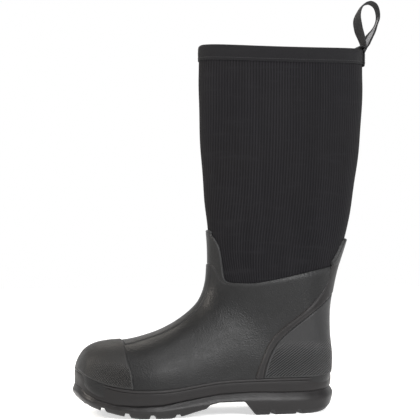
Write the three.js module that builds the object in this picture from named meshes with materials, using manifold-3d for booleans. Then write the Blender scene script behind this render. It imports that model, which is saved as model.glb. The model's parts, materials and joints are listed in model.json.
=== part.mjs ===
// A tall waterproof safety boot for the left foot: a rubber shell over a neoprene bootie and leg, with a
// steel toe cap and shank inside. Millimetres. The toe points to -X, the outer side of the foot is -Y, +Z is
// up, and the tread stands on z = 0. Every soft or rubber layer is an offset of one body form, the lofted
// stations below, so that the layers nest without touching.
import * as THREE from "three";
import { mergeVertices } from "three/addons/utils/BufferGeometryUtils.js";
import Module from "manifold-3d";

const wasm = await Module();
wasm.setup();

// ---- Driving dimensions -------------------------------------------------------------------------------

const gap = 0.3; // air between pieces that touch
const treadDepth = 4.5;
const bindingHeight = 16;
const collarDip = 4; // the top edge is this much lower at the sides than at the front and back
const sides = 18; // points round a section
const legCutRadius = 152; // the leg panel turns about the ankle along this circle
const ankle = { x: 70, z: 96 };
const loop = {
  width: 22,
  thickness: 1.6,
  hinge: { x: 195.5, z: 431.6 },
  height: 55.5,
  halfSpan: 14.5,
  lean: 0.09,
};
const capEdge = -86; // rear edge of the steel toe cap

// Depth of each layer's outer and inner face below the form, at the sides and under the foot.
const layers = {
  rubber: { side: [0, 2.2], floor: [0, 2.2] },
  facing: { side: [2.5, 3.3], floor: [2.5, 3.3] },
  steel: { side: [2.5, 4.3], floor: [2.5, 4.3] },
  counter: { side: [2.5, 3.3], floor: [2.5, 3.3] },
  neoprene: { side: [3.6, 7.6], floor: [11.1, 15.1] },
  lining: { side: [7.9, 8.9], floor: [15.4, 16.4] },
};
const midsole = { bottom: 2.5, top: 8.5 };
const board = { bottom: 8.8, top: 10.8 };
const footbed = { bottom: 16.7, foam: 21.4, top: 22.7, inset: 11.2 };

// ---- The form: one station per section, from the toe's tip to the collar ------------------------------
// Each row: x and z of the section's front end, x and z of its back end, half-widths to the outer and inner
// side, sideways place of both ends, where between the ends the section is widest (-1 to 1), exponent of its
// back or bottom half, and how far it belongs to the foot's floor (0 to 1).

const stations = [
  [-149.4, 48, -149.4, 48, 0, 0, 7, 0.1, 2.5, 0],
  [-148.8, 56, -148.9, 41.5, 16, 14, 7, 0.15, 3, 0.2],
  [-145.2, 65.5, -145.8, 34.5, 29, 26, 7, 0.2, 5, 0.6],
  [-138.5, 74.6, -139.6, 27.5, 39, 34.5, 6.5, 0.3, 7, 0.85],
  [-127, 80.8, -129, 21, 46.5, 41.5, 6, 0.35, 9, 1],
  [-111, 83.8, -111, 15.6, 52.5, 46, 5, 0.4, 10, 1],
  [-92, 85.2, -88, 13.8, 56.5, 49.5, 3.5, 0.45, 10, 1],
  [-74, 89.2, -60, 14.8, 57.5, 50.5, 2, 0.5, 10, 1],
  [-54, 95.8, -28, 20, 54.5, 47.5, 1.5, 0.5, 10, 1],
  [-36, 105, 8, 25, 49, 43, 1, 0.45, 10, 1],
  [-20.5, 116, 47, 26.4, 45, 41, 0.5, 0.4, 9, 1],
  [-9, 127.5, 86, 25.2, 42.5, 39.5, 0, 0.4, 8, 1],
  [-2.5, 140, 120, 25.5, 41, 38.5, 0, 0.45, 6, 1],
  [1, 153, 144.6, 33, 40.5, 38.5, 0, 0.5, 3.2, 0.7],
  [2.3, 167, 151.2, 60, 40, 38.5, 0, 0.5, 2.4, 0.1],
  [2.6, 182, 149.2, 93, 40, 39, 0, 0.45, 2.2, 0],
  [2, 200, 150.6, 126, 40.5, 39.5, 0, 0.35, 2.1, 0],
  [0, 222, 160, 166, 41, 40.5, 0, 0.25, 2, 0],
  [-3.5, 252, 175, 214, 42, 42, 0, 0.15, 2, 0],
  [-6.5, 294, 186.5, 278, 43, 43, 0, 0.08, 2, 0],
  [-8.8, 343, 192.8, 340, 43.5, 43.5, 0, 0, 2, 0],
  [-9.8, 388, 195, 388, 43.5, 43.5, 0, 0, 2, 0],
  [-9.5, 428, 194.9, 428, 43.5, 43.5, 0, 0, 2, 0],
].map(([frontX, frontZ, backX, backZ, outer, inner, ridge, widest, square, floor]) => ({
  front: [frontX, frontZ],
  back: [backX, backZ],
  outer,
  inner,
  ridge,
  widest,
  square,
  floor,
}));
const lastStation = stations.length - 1;
const toeEnd = 9; // the neoprene is thinner before this station, inside the steel cap
const toeThinning = 1.1;

const curveOf = (pointOf) => new THREE.CatmullRomCurve3(stations.map(pointOf), false, "catmullrom");
const frontCurve = curveOf((s) => new THREE.Vector3(s.front[0], 0, s.front[1]));
const backCurve = curveOf((s) => new THREE.Vector3(s.back[0], 0, s.back[1]));
const widthCurve = curveOf((s) => new THREE.Vector3(s.outer, s.inner, s.ridge));
const shapeCurve = curveOf((s) => new THREE.Vector3(s.widest, s.square, s.floor));

// The section at a station number, moved inwards by a side depth and a floor depth. It starts at the front
// end and goes round over the outer side. The toe's tip is a single point.
function sectionRing(station, sideDepth, floorDepth, count = sides) {
  const t = station / lastStation;
  const depth = typeof sideDepth === "function" ? sideDepth(station) : sideDepth;
  const frontTangent = frontCurve.getTangent(t);
  const backTangent = backCurve.getTangent(t);
  const shape = shapeCurve.getPoint(t);
  const width = widthCurve.getPoint(t);
  const front = frontCurve.getPoint(t);
  front.addScaledVector(new THREE.Vector3(-frontTangent.z, 0, frontTangent.x), -depth);
  const back = backCurve.getPoint(t);
  back.addScaledVector(new THREE.Vector3(backTangent.z, 0, -backTangent.x), -depth);
  const widest = front.clone().lerp(back, (1 + shape.x) / 2);
  back.z += (floorDepth - depth) * THREE.MathUtils.clamp(shape.z, 0, 1);
  if (station === 0) return [widest.setY(width.z)];
  const points = [];
  for (let i = 0; i < count; i += 1) {
    const angle = (2 * Math.PI * i) / count;
    const half = Math.max(angle < Math.PI ? width.x - depth : width.y - depth, 0.5);
    const cosine = Math.cos(angle);
    const exponent = 2 / (cosine > 0 ? 2.15 : shape.y);
    const point = widest.clone().lerp(cosine > 0 ? front : back, Math.abs(cosine) ** exponent);
    point.y = width.z + (angle < Math.PI ? -half : half) * Math.abs(Math.sin(angle)) ** exponent;
    const nearTop = THREE.MathUtils.smoothstep(station, lastStation - 2, lastStation);
    point.z -= collarDip * Math.sin(angle) ** 2 * nearTop;
    points.push(point);
  }
  return points;
}

// Every layer has its rings at the same station numbers, so that nested faces stay apart between them too.
const ringNumbers = [0, 0.5, ...[...stations.keys()].slice(1)];
const ringsBetween = (from, to, sideDepth, floorDepth) =>
  ringNumbers.filter((n) => n >= from && n <= to).map((n) => sectionRing(n, sideDepth, floorDepth));

// ---- Lines of the side view, [x, z] ------------------------------------------------------------------

const smoothLine = (points, steps) =>
  new THREE.SplineCurve(points.map(([x, z]) => new THREE.Vector2(x, z))).getPoints(steps);

const soleTop = [[-162, 44], ...stations.slice(2, 13).map((s) => s.back), [144, 28.3], [162, 32.5]].map(
  ([x, z]) => new THREE.Vector2(x, z),
);
const randTop = smoothLine(
  [[-160, 59], [-149, 52], [-138, 44.5], [-123, 38.5], [-104, 34.2], [-80, 32.2], [-45, 33.6], [8, 40.5],
    [60, 42], [110, 42.2], [138, 44], [160, 48.5]],
  44,
);
// The lugs' lower faces: flat under the ball and the heel, with the toe sprung up and the heel bevelled.
const treadLine = [
  ...smoothLine([[-162, 34], [-154, 24.5], [-145, 16.5], [-132, 10.4], [-114, 5.6], [-97, 2], [-86, 0.3],
    [-80, 0]], 20),
  ...smoothLine([[112, 0], [124, 0.6], [135, 2.4], [144, 6], [150, 11], [158, 20]], 12),
];
const upperTopLine = [
  ...smoothLine([[-40, 214.5], [-1, 213.5], [4, 207], [9, 199], [12.5, 189], [14.6, 176], [16, 164]], 14),
  ...smoothLine([[17.2, 157], [21, 153], [29, 151.6], [47, 151], [63, 152.8], [90, 158], [120, 164.5],
    [146, 169.5], [175, 176]], 14),
];
const bandUpperLine = smoothLine(
  [[185, 175.5], [153, 173.5], [146.5, 169], [143.5, 155], [134, 141], [114, 122.5], [90, 104], [77, 93.5],
    [66.5, 80], [58, 62], [52, 48], [48, 32]],
  28,
);
const bandLowerLine = smoothLine(
  [[175, 150], [154, 140.5], [138, 129.5], [109, 109], [84, 89], [73, 76], [65.5, 61], [61.5, 48], [58, 32]],
  24,
);
const tabEdgeLine = smoothLine([[190, 205], [170, 202.5], [163.5, 196], [154, 181], [149, 175.2]], 12);

// ---- Building blocks ---------------------------------------------------------------------------------

// A closed skin over rings of points. A ring of one point is a tip. With wrap the last ring meets the first.
// From the ring number turned onwards the faces are split along their other diagonal.
function skin(rings, wrap = false, turned = Infinity) {
  const positions = [];
  const starts = [];
  for (const ring of rings) {
    starts.push(positions.length / 3);
    for (const p of ring) positions.push(p.x, p.y, p.z);
  }
  const indices = [];
  const pairs = wrap ? rings.length : rings.length - 1;
  for (let r = 0; r < pairs; r += 1) {
    const next = (r + 1) % rings.length;
    const [a, b] = [rings[r].length, rings[next].length];
    const sides = Math.max(a, b);
    for (let i = 0; i < sides; i += 1) {
      const j = (i + 1) % sides;
      const [a0, a1] = [starts[r] + (a > 1 ? i : 0), starts[r] + (a > 1 ? j : 0)];
      const [b0, b1] = [starts[next] + (b > 1 ? i : 0), starts[next] + (b > 1 ? j : 0)];
      if (r >= turned && a > 1 && b > 1) {
        indices.push(a0, a1, b0, a1, b1, b0);
        continue;
      }
      if (b > 1) indices.push(a0, b1, b0);
      if (a > 1) indices.push(a0, a1, b1);
    }
  }
  const geometry = new THREE.BufferGeometry();
  geometry.setAttribute("position", new THREE.Float32BufferAttribute(positions, 3));
  geometry.setIndex(indices);
  return geometry;
}

// A closed mesh as a solid, turned right side out.
function solidOf(geometry) {
  const bare = new THREE.BufferGeometry();
  bare.setAttribute("position", geometry.getAttribute("position"));
  bare.setIndex(geometry.getIndex());
  const merged = mergeVertices(bare, 1e-4);
  const triVerts = new Uint32Array(merged.getIndex().array);
  const vertProperties = new Float32Array(merged.getAttribute("position").array);
  const made = new wasm.Manifold(new wasm.Mesh({ numProp: 3, vertProperties, triVerts }));
  if (made.volume() > 0) return made;
  const flipped = triVerts.map((_, i) => triVerts[i - (i % 3) + 2 - (i % 3)]);
  return new wasm.Manifold(new wasm.Mesh({ numProp: 3, vertProperties, triVerts: flipped }));
}

function geometryOf(solid) {
  const mesh = solid.getMesh();
  const geometry = new THREE.BufferGeometry();
  geometry.setAttribute("position", new THREE.Float32BufferAttribute(mesh.vertProperties, mesh.numProp));
  geometry.setIndex(new THREE.Uint32BufferAttribute(mesh.triVerts, 1));
  return geometry;
}

// Everything inside a face of the form, between two station numbers.
function formSolid(sideDepth, floorDepth, from, to) {
  const rings = ringsBetween(from, to, sideDepth, floorDepth);
  const sumOf = (ring) => ring.reduce((sum, p) => sum.add(p), new THREE.Vector3());
  const centre = (ring) => [sumOf(ring).divideScalar(ring.length)];
  if (from > 0) rings.unshift(centre(rings[0]));
  rings.push(centre(rings[rings.length - 1]));
  return solidOf(skin(rings));
}

// The wall between two faces of the form.
function formShell({ side, floor }, from, to) {
  const outer = ringsBetween(from, to, side[0], floor[0]);
  const inner = ringsBetween(from, to, side[1], floor[1]).reverse();
  return solidOf(skin([...outer, ...inner], from > 0, outer.length));
}

// A side-view outline, carried across the boot from one y to another.
function sideBlock(points, fromY = -110, toY = 110) {
  const shape = new THREE.Shape(points.map((p) => (p.isVector2 ? p : new THREE.Vector2(p[0], p[1]))));
  const block = new THREE.ExtrudeGeometry(shape, { depth: toY - fromY, bevelEnabled: false, steps: 1 });
  return solidOf(block.rotateX(Math.PI / 2).translate(0, toY, 0));
}

// A plan-view outline, carried from one height to another.
function planBlock(points, fromZ, toZ) {
  const shape = new THREE.Shape(points.map(([x, y]) => new THREE.Vector2(x, y)));
  const block = new THREE.ExtrudeGeometry(shape, { depth: toZ - fromZ, bevelEnabled: false, steps: 1 });
  return solidOf(block.translate(0, 0, fromZ));
}

const raised = (line, height) => line.map((p) => new THREE.Vector2(p.x, p.y + height));
const upTo = (line, z) => {
  const last = line[line.length - 1];
  return [...line, new THREE.Vector2(last.x, z), new THREE.Vector2(line[0].x, z)];
};

function lineHeight(line, x) {
  const next = line.findIndex((p) => p.x > x);
  if (next <= 0) return line[next === 0 ? 0 : line.length - 1].y;
  const [a, b] = [line[next - 1], line[next]];
  return a.y + ((b.y - a.y) * (x - a.x)) / (b.x - a.x);
}

// ---- The sole's plan outline -------------------------------------------------------------------------
// Outer side from the toe's tip to the heel's back, then the inner side forward again; both sides have
// their points at the same x, so that a plate's faces are ruled straight across.

const soleTip = [-152, 7];
const soleHeel = [153, 0];
const soleOuter = [[-147.5, -17], [-136, -35], [-113, -50], [-85, -58], [-55, -59.5], [-22, -54.5],
  [12, -49.5], [48, -46.5], [84, -45.5], [116, -42], [141, -30]];
const soleInner = [[-147.5, 27], [-136, 42], [-113, 53], [-85, 56], [-55, 55], [-22, 50.5],
  [12, 47], [48, 44.5], [84, 43.5], [116, 40.5], [141, 29.5]];
const solePoints = [soleTip, ...soleOuter, soleHeel, ...soleInner.slice().reverse()];
const soleOutline = new THREE.CatmullRomCurve3(
  solePoints.map(([x, y]) => new THREE.Vector3(x, y, 0)),
  true,
  "catmullrom",
);
const outlineSteps = 42;

// One ring of a plate: the sole's outline grown sideways, at the heights that a function of x gives.
function outlineRing(grow, heightAt) {
  const points = [];
  for (let i = 0; i < outlineSteps; i += 1) {
    const t = i / outlineSteps;
    const tangent = soleOutline.getTangent(t);
    const outward = new THREE.Vector3(-tangent.y, tangent.x, 0);
    const point = soleOutline.getPoint(t).addScaledVector(outward, grow);
    points.push(point.setZ(heightAt(point.x)));
  }
  return points;
}

// A plate that follows the sole: rings from its lower edge to its upper edge, and ruled faces across both.
function plate(levels) {
  const rings = levels.map(({ grow, height }) => outlineRing(grow, height));
  const wall = skin(rings);
  const indices = [...wall.getIndex().array];
  const across = (start, flip) => {
    for (let i = 0; i < outlineSteps / 2; i += 1) {
      const [a, b] = [start + i, start + i + 1];
      const c = start + ((outlineSteps - i - 1) % outlineSteps);
      const d = start + ((outlineSteps - i) % outlineSteps);
      const faces = [[a, b, c], [a, c, d]].filter((f) => new Set(f).size === 3);
      for (const f of faces) indices.push(...(flip ? f.slice().reverse() : f));
    }
  };
  across(0, true);
  across((rings.length - 1) * outlineSteps, false);
  wall.setIndex(indices);
  return solidOf(wall);
}

// ---- Materials ---------------------------------------------------------------------------------------

const material = (color, roughness, metalness = 0) =>
  new THREE.MeshStandardMaterial({ color, roughness, metalness });
const materials = {
  rubber: material(0x2b2b2c, 0.55),
  trimRubber: material(0x2f2e2e, 0.5),
  soleRubber: material(0x2d2b2c, 0.6),
  textile: material(0x1e1e20, 0.9),
  neoprene: material(0x17181a, 0.85),
  lining: material(0x3a3c40, 0.95),
  webbing: material(0x2c2c2e, 0.8),
  steel: material(0x9a9c9e, 0.35, 1),
  foam: material(0x55585c, 0.9),
  board: material(0xb9a98a, 0.9),
  plastic: material(0x4a4a4c, 0.6),
};

const boot = new THREE.Group();

function addPiece(group, name, solid, finish) {
  const mesh = new THREE.Mesh(geometryOf(solid), finish);
  mesh.name = name;
  group.add(mesh);
  return mesh;
}

// ---- Sole unit ---------------------------------------------------------------------------------------

const outerForm = formSolid(-gap, -gap, 0, 15);

// Grooves between the lugs: chevron bars across the forefoot and the heel, and two channels along each.
function treadGrooves() {
  const bars = [];
  const bar = (x, width, skew) => {
    const frontEdge = [[x - skew, -70], [x, 0], [x - skew, 70]];
    const rearEdge = [[x - skew + width, 70], [x + width, 0], [x - skew + width, -70]];
    bars.push(planBlock([...frontEdge, ...rearEdge], -30, 40));
  };
  for (const x of [-123, -96, -67.5, -38.5, -14]) bar(x, 5, 7);
  for (const x of [65, 97]) bar(x, 5, -6);
  const channel = (fromX, toX, y) => {
    const plan = [[fromX, y - 2.2], [toX, y - 2.2], [toX, y + 2.2], [fromX, y + 2.2]];
    bars.push(planBlock(plan, -30, 40));
  };
  for (const y of [-20, 18]) {
    channel(-143, -6, y);
    channel(45, 136, y);
  }
  const upToGrooveFloor = sideBlock(upTo(raised(treadLine, treadDepth), -20));
  return bars.reduce((all, one) => all.add(one)).intersect(upToGrooveFloor);
}

// The arch is hollowed out underneath. The heel's front face slopes, and is further back on the inner side.
function archRecess() {
  const arch = smoothLine([[-52, -0.2], [-36, 2.6], [-22, 6.4], [-9, 9.6]], 8);
  const roof = [[-4.5, 13.8], [9, 16.6], [24, 17.2], [32, 16.7]];
  const waist = sideBlock([...arch, ...roof, [32, -10], [-52, -10]]);
  const breast = new THREE.ExtrudeGeometry(
    new THREE.Shape([[8, 16.4], [38, 16], [46, 6.5], [49.5, 2], [53, -0.2], [53, -10], [8, -10]].map(
      ([x, z]) => new THREE.Vector2(x, z),
    )),
    { depth: 160, bevelEnabled: false, steps: 1 },
  );
  breast.rotateX(Math.PI / 2).translate(0, 80, 0);
  breast.applyMatrix4(new THREE.Matrix4().set(1, 0.14, 0, 0.14 * 42, 0, 1, 0, 0, 0, 0, 1, 0, 0, 0, 0, 1));
  return waist.add(solidOf(breast));
}

function outsole() {
  const top = (x) => lineHeight(soleTop, x) - gap;
  const bottom = (x) => lineHeight(treadLine, x);
  const share = (part) => (x) => bottom(x) + (top(x) - bottom(x)) * part;
  const slab = plate([
    { grow: -3.5, height: bottom },
    { grow: -1.2, height: share(0.14) },
    { grow: 0, height: share(0.5) },
    { grow: 0.6, height: share(0.78) },
    { grow: -0.4, height: share(0.93) },
    { grow: -2.6, height: top },
  ]);
  return slab.subtract(archRecess()).subtract(treadGrooves()).subtract(outerForm);
}

function rand() {
  const bottom = (x) => lineHeight(soleTop, x);
  const top = (x) => lineHeight(randTop, x);
  const middle = (x) => (bottom(x) + top(x)) / 2;
  return plate([
    { grow: -3.6, height: bottom },
    { grow: -2, height: (x) => bottom(x) + 2 },
    { grow: -1.8, height: middle },
    { grow: -2.4, height: (x) => top(x) - 1.2 },
    { grow: -3.4, height: top },
  ]).subtract(outerForm);
}

const overSole = (height, top) => sideBlock(upTo(raised(soleTop, height), top));

// A sheet on the foot's floor, cut out of a solid between two heights above the sole's top.
const floorSheet = (solid, bottom, top) =>
  solid.intersect(sideBlock([...raised(soleTop, top), ...raised(soleTop, bottom).reverse()]));

const shank = { from: -28, to: 78, width: 15, thickness: 1.4, arch: 1.2 };
function shankBar(extra) {
  const topLine = [];
  for (let i = 0; i <= 8; i += 1) {
    const x = shank.from - extra + ((shank.to - shank.from + 2 * extra) * i) / 8;
    topLine.push(new THREE.Vector2(x, lineHeight(soleTop, x) + midsole.top - 0.2 + extra));
  }
  const underLine = raised(topLine, -shank.thickness - 2 * extra).reverse();
  return sideBlock([...topLine, ...underLine], -shank.width / 2 - extra, shank.width / 2 + extra);
}

addPiece(boot, "outsole", outsole(), materials.soleRubber);
addPiece(boot, "rand", rand(), materials.trimRubber);
// The neoprene makes room for the steel cap at the toe.
const underCap = (depth) => (station) =>
  depth + toeThinning * THREE.MathUtils.clamp((toeEnd - station) / 1.2, 0, 1);
const bootieWall = {
  side: [underCap(layers.neoprene.side[0]), layers.neoprene.side[1]],
  floor: layers.neoprene.floor,
};
const insideRubber = formSolid(layers.rubber.side[1] + gap, layers.rubber.side[1] + gap, 0, 15);
const [bootieSide, bootieFloor] = [layers.neoprene.side[0] - gap, layers.neoprene.floor[0] - gap];
const bootieRoom = formSolid(underCap(bootieSide), bootieFloor, 0, 15);
const midsoleSheet = floorSheet(insideRubber, midsole.bottom, midsole.top);
addPiece(boot, "midsole", midsoleSheet.subtract(shankBar(gap)), materials.foam);
addPiece(boot, "steel_shank", shankBar(0), materials.steel);
const boardSheet = floorSheet(insideRubber, board.bottom, board.top);
addPiece(boot, "insole_board", boardSheet.subtract(bootieRoom), materials.board);

// ---- Toe and heel reinforcements ---------------------------------------------------------------------

const onBoard = board.top + gap;
const capWall = formShell(layers.steel, 0, 8).intersect(overSole(onBoard, 120));
const capOutline = [[-160, 0], [capEdge, 0], [capEdge + 6, 100], [-160, 100]];
const cushionOutline = [
  [capEdge + gap, 0],
  [capEdge + 5, 0],
  [capEdge + 11, 100],
  [capEdge + 6 + gap, 100],
];
addPiece(boot, "steel_toe_cap", capWall.intersect(sideBlock(capOutline)), materials.steel);
addPiece(boot, "toe_cap_cushion", capWall.intersect(sideBlock(cushionOutline)), materials.plastic);
addPiece(
  boot,
  "heel_counter",
  formShell(layers.counter, 8, 17)
    .intersect(sideBlock([[78, 0], [96, 80], [128, 100], [175, 100], [175, 0]]))
    .intersect(overSole(onBoard, 120)),
  materials.plastic,
);

// ---- Rubber shell: the lower upper, the shin tab and the tab behind the ankle ------------------------

const rubberWall = formShell(layers.rubber, 0, 18).subtract(sideBlock(upTo(upperTopLine, 320)));
const shinSeam = [[-40, 174.8], [2, 174.4], [6.2, 171.2], [10.2, 164.4], [14, 154], [40, 154]];
const tabOutline = [...tabEdgeLine, [149, 174.9], [158, 176.4], [200, 177.6]];
const shinBlock = (rise) => sideBlock([...shinSeam.map(([x, z]) => [x, z + rise]), [40, 320], [-40, 320]]);
addPiece(boot, "rubber_upper", rubberWall.subtract(shinBlock(0)), materials.rubber);
addPiece(boot, "shin_tab", rubberWall.intersect(shinBlock(gap)), materials.rubber);
addPiece(
  boot,
  "achilles_tab",
  formShell(layers.rubber, 14, 19).intersect(sideBlock(tabOutline)),
  materials.rubber,
);

// ---- Raised overlays on the rubber shell -------------------------------------------------------------

const overlay = (thickness, from, to, outline) =>
  formShell({ side: [-gap - thickness, -gap], floor: [-gap - thickness, -gap] }, from, to).intersect(
    sideBlock(outline),
  );
const onRand = (fromX, toX, steps) => {
  const points = [];
  for (let i = 0; i <= steps; i += 1) {
    const x = fromX + ((toX - fromX) * i) / steps;
    points.push([x, lineHeight(randTop, x) + 2 * gap]);
  }
  return points;
};
const bumperEdge = [[-92, 35], [-94, 53], [-97.5, 64], [-98, 82], [-96, 98]];
addPiece(
  boot,
  "toe_bumper",
  overlay(1.9, 0, 8, [...onRand(-165, -92, 18), ...bumperEdge, [-165, 100]]),
  materials.rubber,
);
const quarterLine = bandLowerLine.map((p) => [p.x + 0.5, p.y - 0.4]);
addPiece(
  boot,
  "heel_overlay",
  overlay(0.9, 9, 18, [...onRand(62, 180, 9), ...quarterLine.filter(([, z]) => z > 45)]),
  materials.rubber,
);
addPiece(
  boot,
  "heel_band",
  overlay(1.7, 9, 18, [...bandUpperLine, ...bandLowerLine.slice().reverse()]).intersect(
    sideBlock([...onRand(20, 190, 10), [190, 220], [20, 220]]),
  ),
  materials.trimRubber,
);

// The strip over the instep: a ribbon of the form's front that narrows towards the shin.
const strip = {
  from: 5,
  widths: [28, 27, 24, 22, 20, 18, 16, 14, 13, 12, 12],
  lift: 0.5,
  thickness: 0.9,
  across: 6,
};
function instepStrip() {
  const rowAt = (station, depth) => {
    const ring = sectionRing(station, depth, depth, 72);
    const halfWidth = strip.widths[station - strip.from];
    const pointAt = (y) => {
      const half = y < 0 ? ring.slice(0, 19) : [ring[0], ...ring.slice(54).reverse()];
      const next = half.findIndex((p) => Math.abs(p.y - ring[0].y) >= Math.abs(y));
      if (next <= 0) return ring[0].clone();
      const [a, b] = [half[next - 1], half[next]];
      const start = Math.abs(a.y - ring[0].y);
      return a.clone().lerp(b, (Math.abs(y) - start) / (Math.abs(b.y - ring[0].y) - start));
    };
    const row = [];
    for (let i = 0; i <= strip.across; i += 1) row.push(pointAt(halfWidth * ((2 * i) / strip.across - 1)));
    return row;
  };
  const middle = (ring) => [ring[3].clone().lerp(ring[10], 0.5)];
  const rings = [];
  strip.widths.forEach((_, i) => {
    const n = strip.from + i;
    rings.push([...rowAt(n, -strip.lift - strip.thickness), ...rowAt(n, -strip.lift).reverse()]);
  });
  const ribbon = solidOf(skin([middle(rings[0]), ...rings, middle(rings[rings.length - 1])]));
  const besideBumper = bumperEdge.map(([x, z]) => [x + gap, z]);
  const bumperBlock = sideBlock([[-170, 0], ...besideBumper, [-170, 100]]);
  return ribbon.subtract(bumperBlock).subtract(shinBlock(-gap));
}
addPiece(boot, "instep_strip", instepStrip(), materials.rubber);

// ---- Bootie and leg panels ---------------------------------------------------------------------------

function footRegion(radius) {
  const drum = new THREE.CylinderGeometry(radius, radius, 220, 72).translate(ankle.x, 0, ankle.z);
  return solidOf(drum).add(sideBlock([[-170, -10], [210, -10], [210, 130], [-170, 130]]));
}
const footSide = footRegion(legCutRadius - gap);
const legSide = footRegion(legCutRadius + gap);

// The bootie's foot and its ankle are two panels of neoprene, sewn together round the ankle.
const ankleSeam = 118;
const bootie = formShell(bootieWall, 0, 19).intersect(footSide);
const below = (z) => sideBlock([[-170, -10], [210, -10], [210, z], [-170, z]]);
addPiece(boot, "bootie_neoprene", bootie.intersect(below(ankleSeam)), materials.neoprene);
addPiece(boot, "ankle_neoprene", bootie.subtract(below(ankleSeam + gap)), materials.neoprene);
addPiece(boot, "bootie_lining", formShell(layers.lining, 0, 19).intersect(footSide), materials.lining);
const facingTube = formShell(layers.facing, 12, 19).intersect(footSide);
const underRubberEdge = sideBlock(upTo(raised(upperTopLine, -16), 0));
addPiece(boot, "ankle_facing", facingTube.subtract(underRubberEdge), materials.textile);

const leg = new THREE.Group();
boot.add(leg);
const legPanel = (layer) => formShell(layer, 17, lastStation).subtract(legSide);
addPiece(leg, "leg_neoprene", legPanel(layers.neoprene), materials.neoprene);
addPiece(leg, "leg_lining", legPanel(layers.lining), materials.lining);
addPiece(leg, "leg_facing", legPanel(layers.facing), materials.textile);

// ---- Collar binding: a tape folded over the top of the leg -------------------------------------------

const tape = { outer: 1.5, thickness: 0.7, top: 1.6 };
const tapeInside = layers.lining.side[1] + gap;
const lowRing = lastStation - bindingHeight / 40;
function collarBinding() {
  const ring = (station, depth, lift) =>
    sectionRing(station, depth, depth).map((p) => p.add(new THREE.Vector3(0, 0, lift)));
  const outer = tape.outer + tape.thickness;
  const inner = tapeInside + tape.thickness;
  const rings = [
    ring(lowRing, tape.outer, 0),
    ring(lastStation, tape.outer, tape.top - 0.8),
    ring(lastStation, tape.outer + 0.9, tape.top),
    ring(lastStation, tapeInside, tape.top),
    ring(lastStation, inner, tape.top - 0.8),
    ring(lowRing, inner, 0),
    ring(lowRing, tapeInside, 0),
    ring(lastStation, tapeInside, gap),
    ring(lastStation, outer, gap),
    ring(lowRing, outer, 0),
  ];
  return solidOf(skin(rings, true));
}
addPiece(leg, "collar_binding", collarBinding(), materials.webbing);

// ---- Pull loop: two webbing tails sewn to the collar, and the loop that swings on them ----------------

const { width: loopWidth, thickness: webbing } = loop;
const tailPlan = [[150, -loopWidth / 2], [210, -loopWidth / 2], [210, loopWidth / 2], [150, loopWidth / 2]];
function tail(depth, fromZ, toZ) {
  const wall = { side: [depth, depth + webbing], floor: [depth, depth + webbing] };
  return formShell(wall, 18, lastStation).intersect(planBlock(tailPlan, fromZ, toZ));
}
addPiece(leg, "loop_tail_outer", tail(tape.outer - gap - webbing, 411, 428), materials.webbing);
addPiece(leg, "loop_tail_inner", tail(tapeInside + tape.thickness + gap, 409, 428), materials.webbing);

// The teardrop of the loop in the side view, from its pinched foot round over the top.
function teardrop(inset) {
  const wide = loop.halfSpan - inset;
  const tall = loop.height - inset;
  const foot = inset * 2;
  const half = [
    [wide * 0.26, foot + 7],
    [wide * 0.72, tall * 0.4],
    [wide, tall * 0.67],
    [wide * 0.68, tall * 0.92],
  ];
  const back = half.map(([x, z]) => [-x, z]).reverse();
  const placed = [[0, foot], ...half, [0, tall], ...back].map(
    ([x, z]) => new THREE.Vector3(loop.hinge.x + x + z * loop.lean, 0, loop.hinge.z + z),
  );
  const outline = new THREE.CatmullRomCurve3(placed, true, "catmullrom").getPoints(40).slice(0, -1);
  return outline.map((p) => [p.x, p.z]);
}
const swing = new THREE.Group();
leg.add(swing);
addPiece(
  swing,
  "pull_loop",
  sideBlock(teardrop(0), -loopWidth / 2, loopWidth / 2).subtract(sideBlock(teardrop(webbing))),
  materials.webbing,
);

// ---- Footbed: foam with a cloth cover, lifted out through the leg -------------------------------------

const insert = new THREE.Group();
boot.add(insert);
const onLining = formSolid(footbed.inset, footbed.bottom, 0, 15);
addPiece(insert, "footbed", floorSheet(onLining, footbed.bottom, footbed.foam), materials.foam);
addPiece(insert, "footbed_cover", floorSheet(onLining, footbed.foam + gap, footbed.top), materials.lining);

// ---- Origin at the middle of the whole boot's box, on the ground --------------------------------------

const box = new THREE.Box3().setFromObject(boot);
boot.position.set(-(box.min.x + box.max.x) / 2, -(box.min.y + box.max.y) / 2, -box.min.z);

export default boot;
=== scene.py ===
"""The looks of a tall waterproof safety boot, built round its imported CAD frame.

Lengths in this file are in millimetres in the boot's own design frame (toe at -X, outer side at -Y, tread on
z = 0); piece() moves them into the row frame, in metres.
"""

import json
import math

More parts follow.
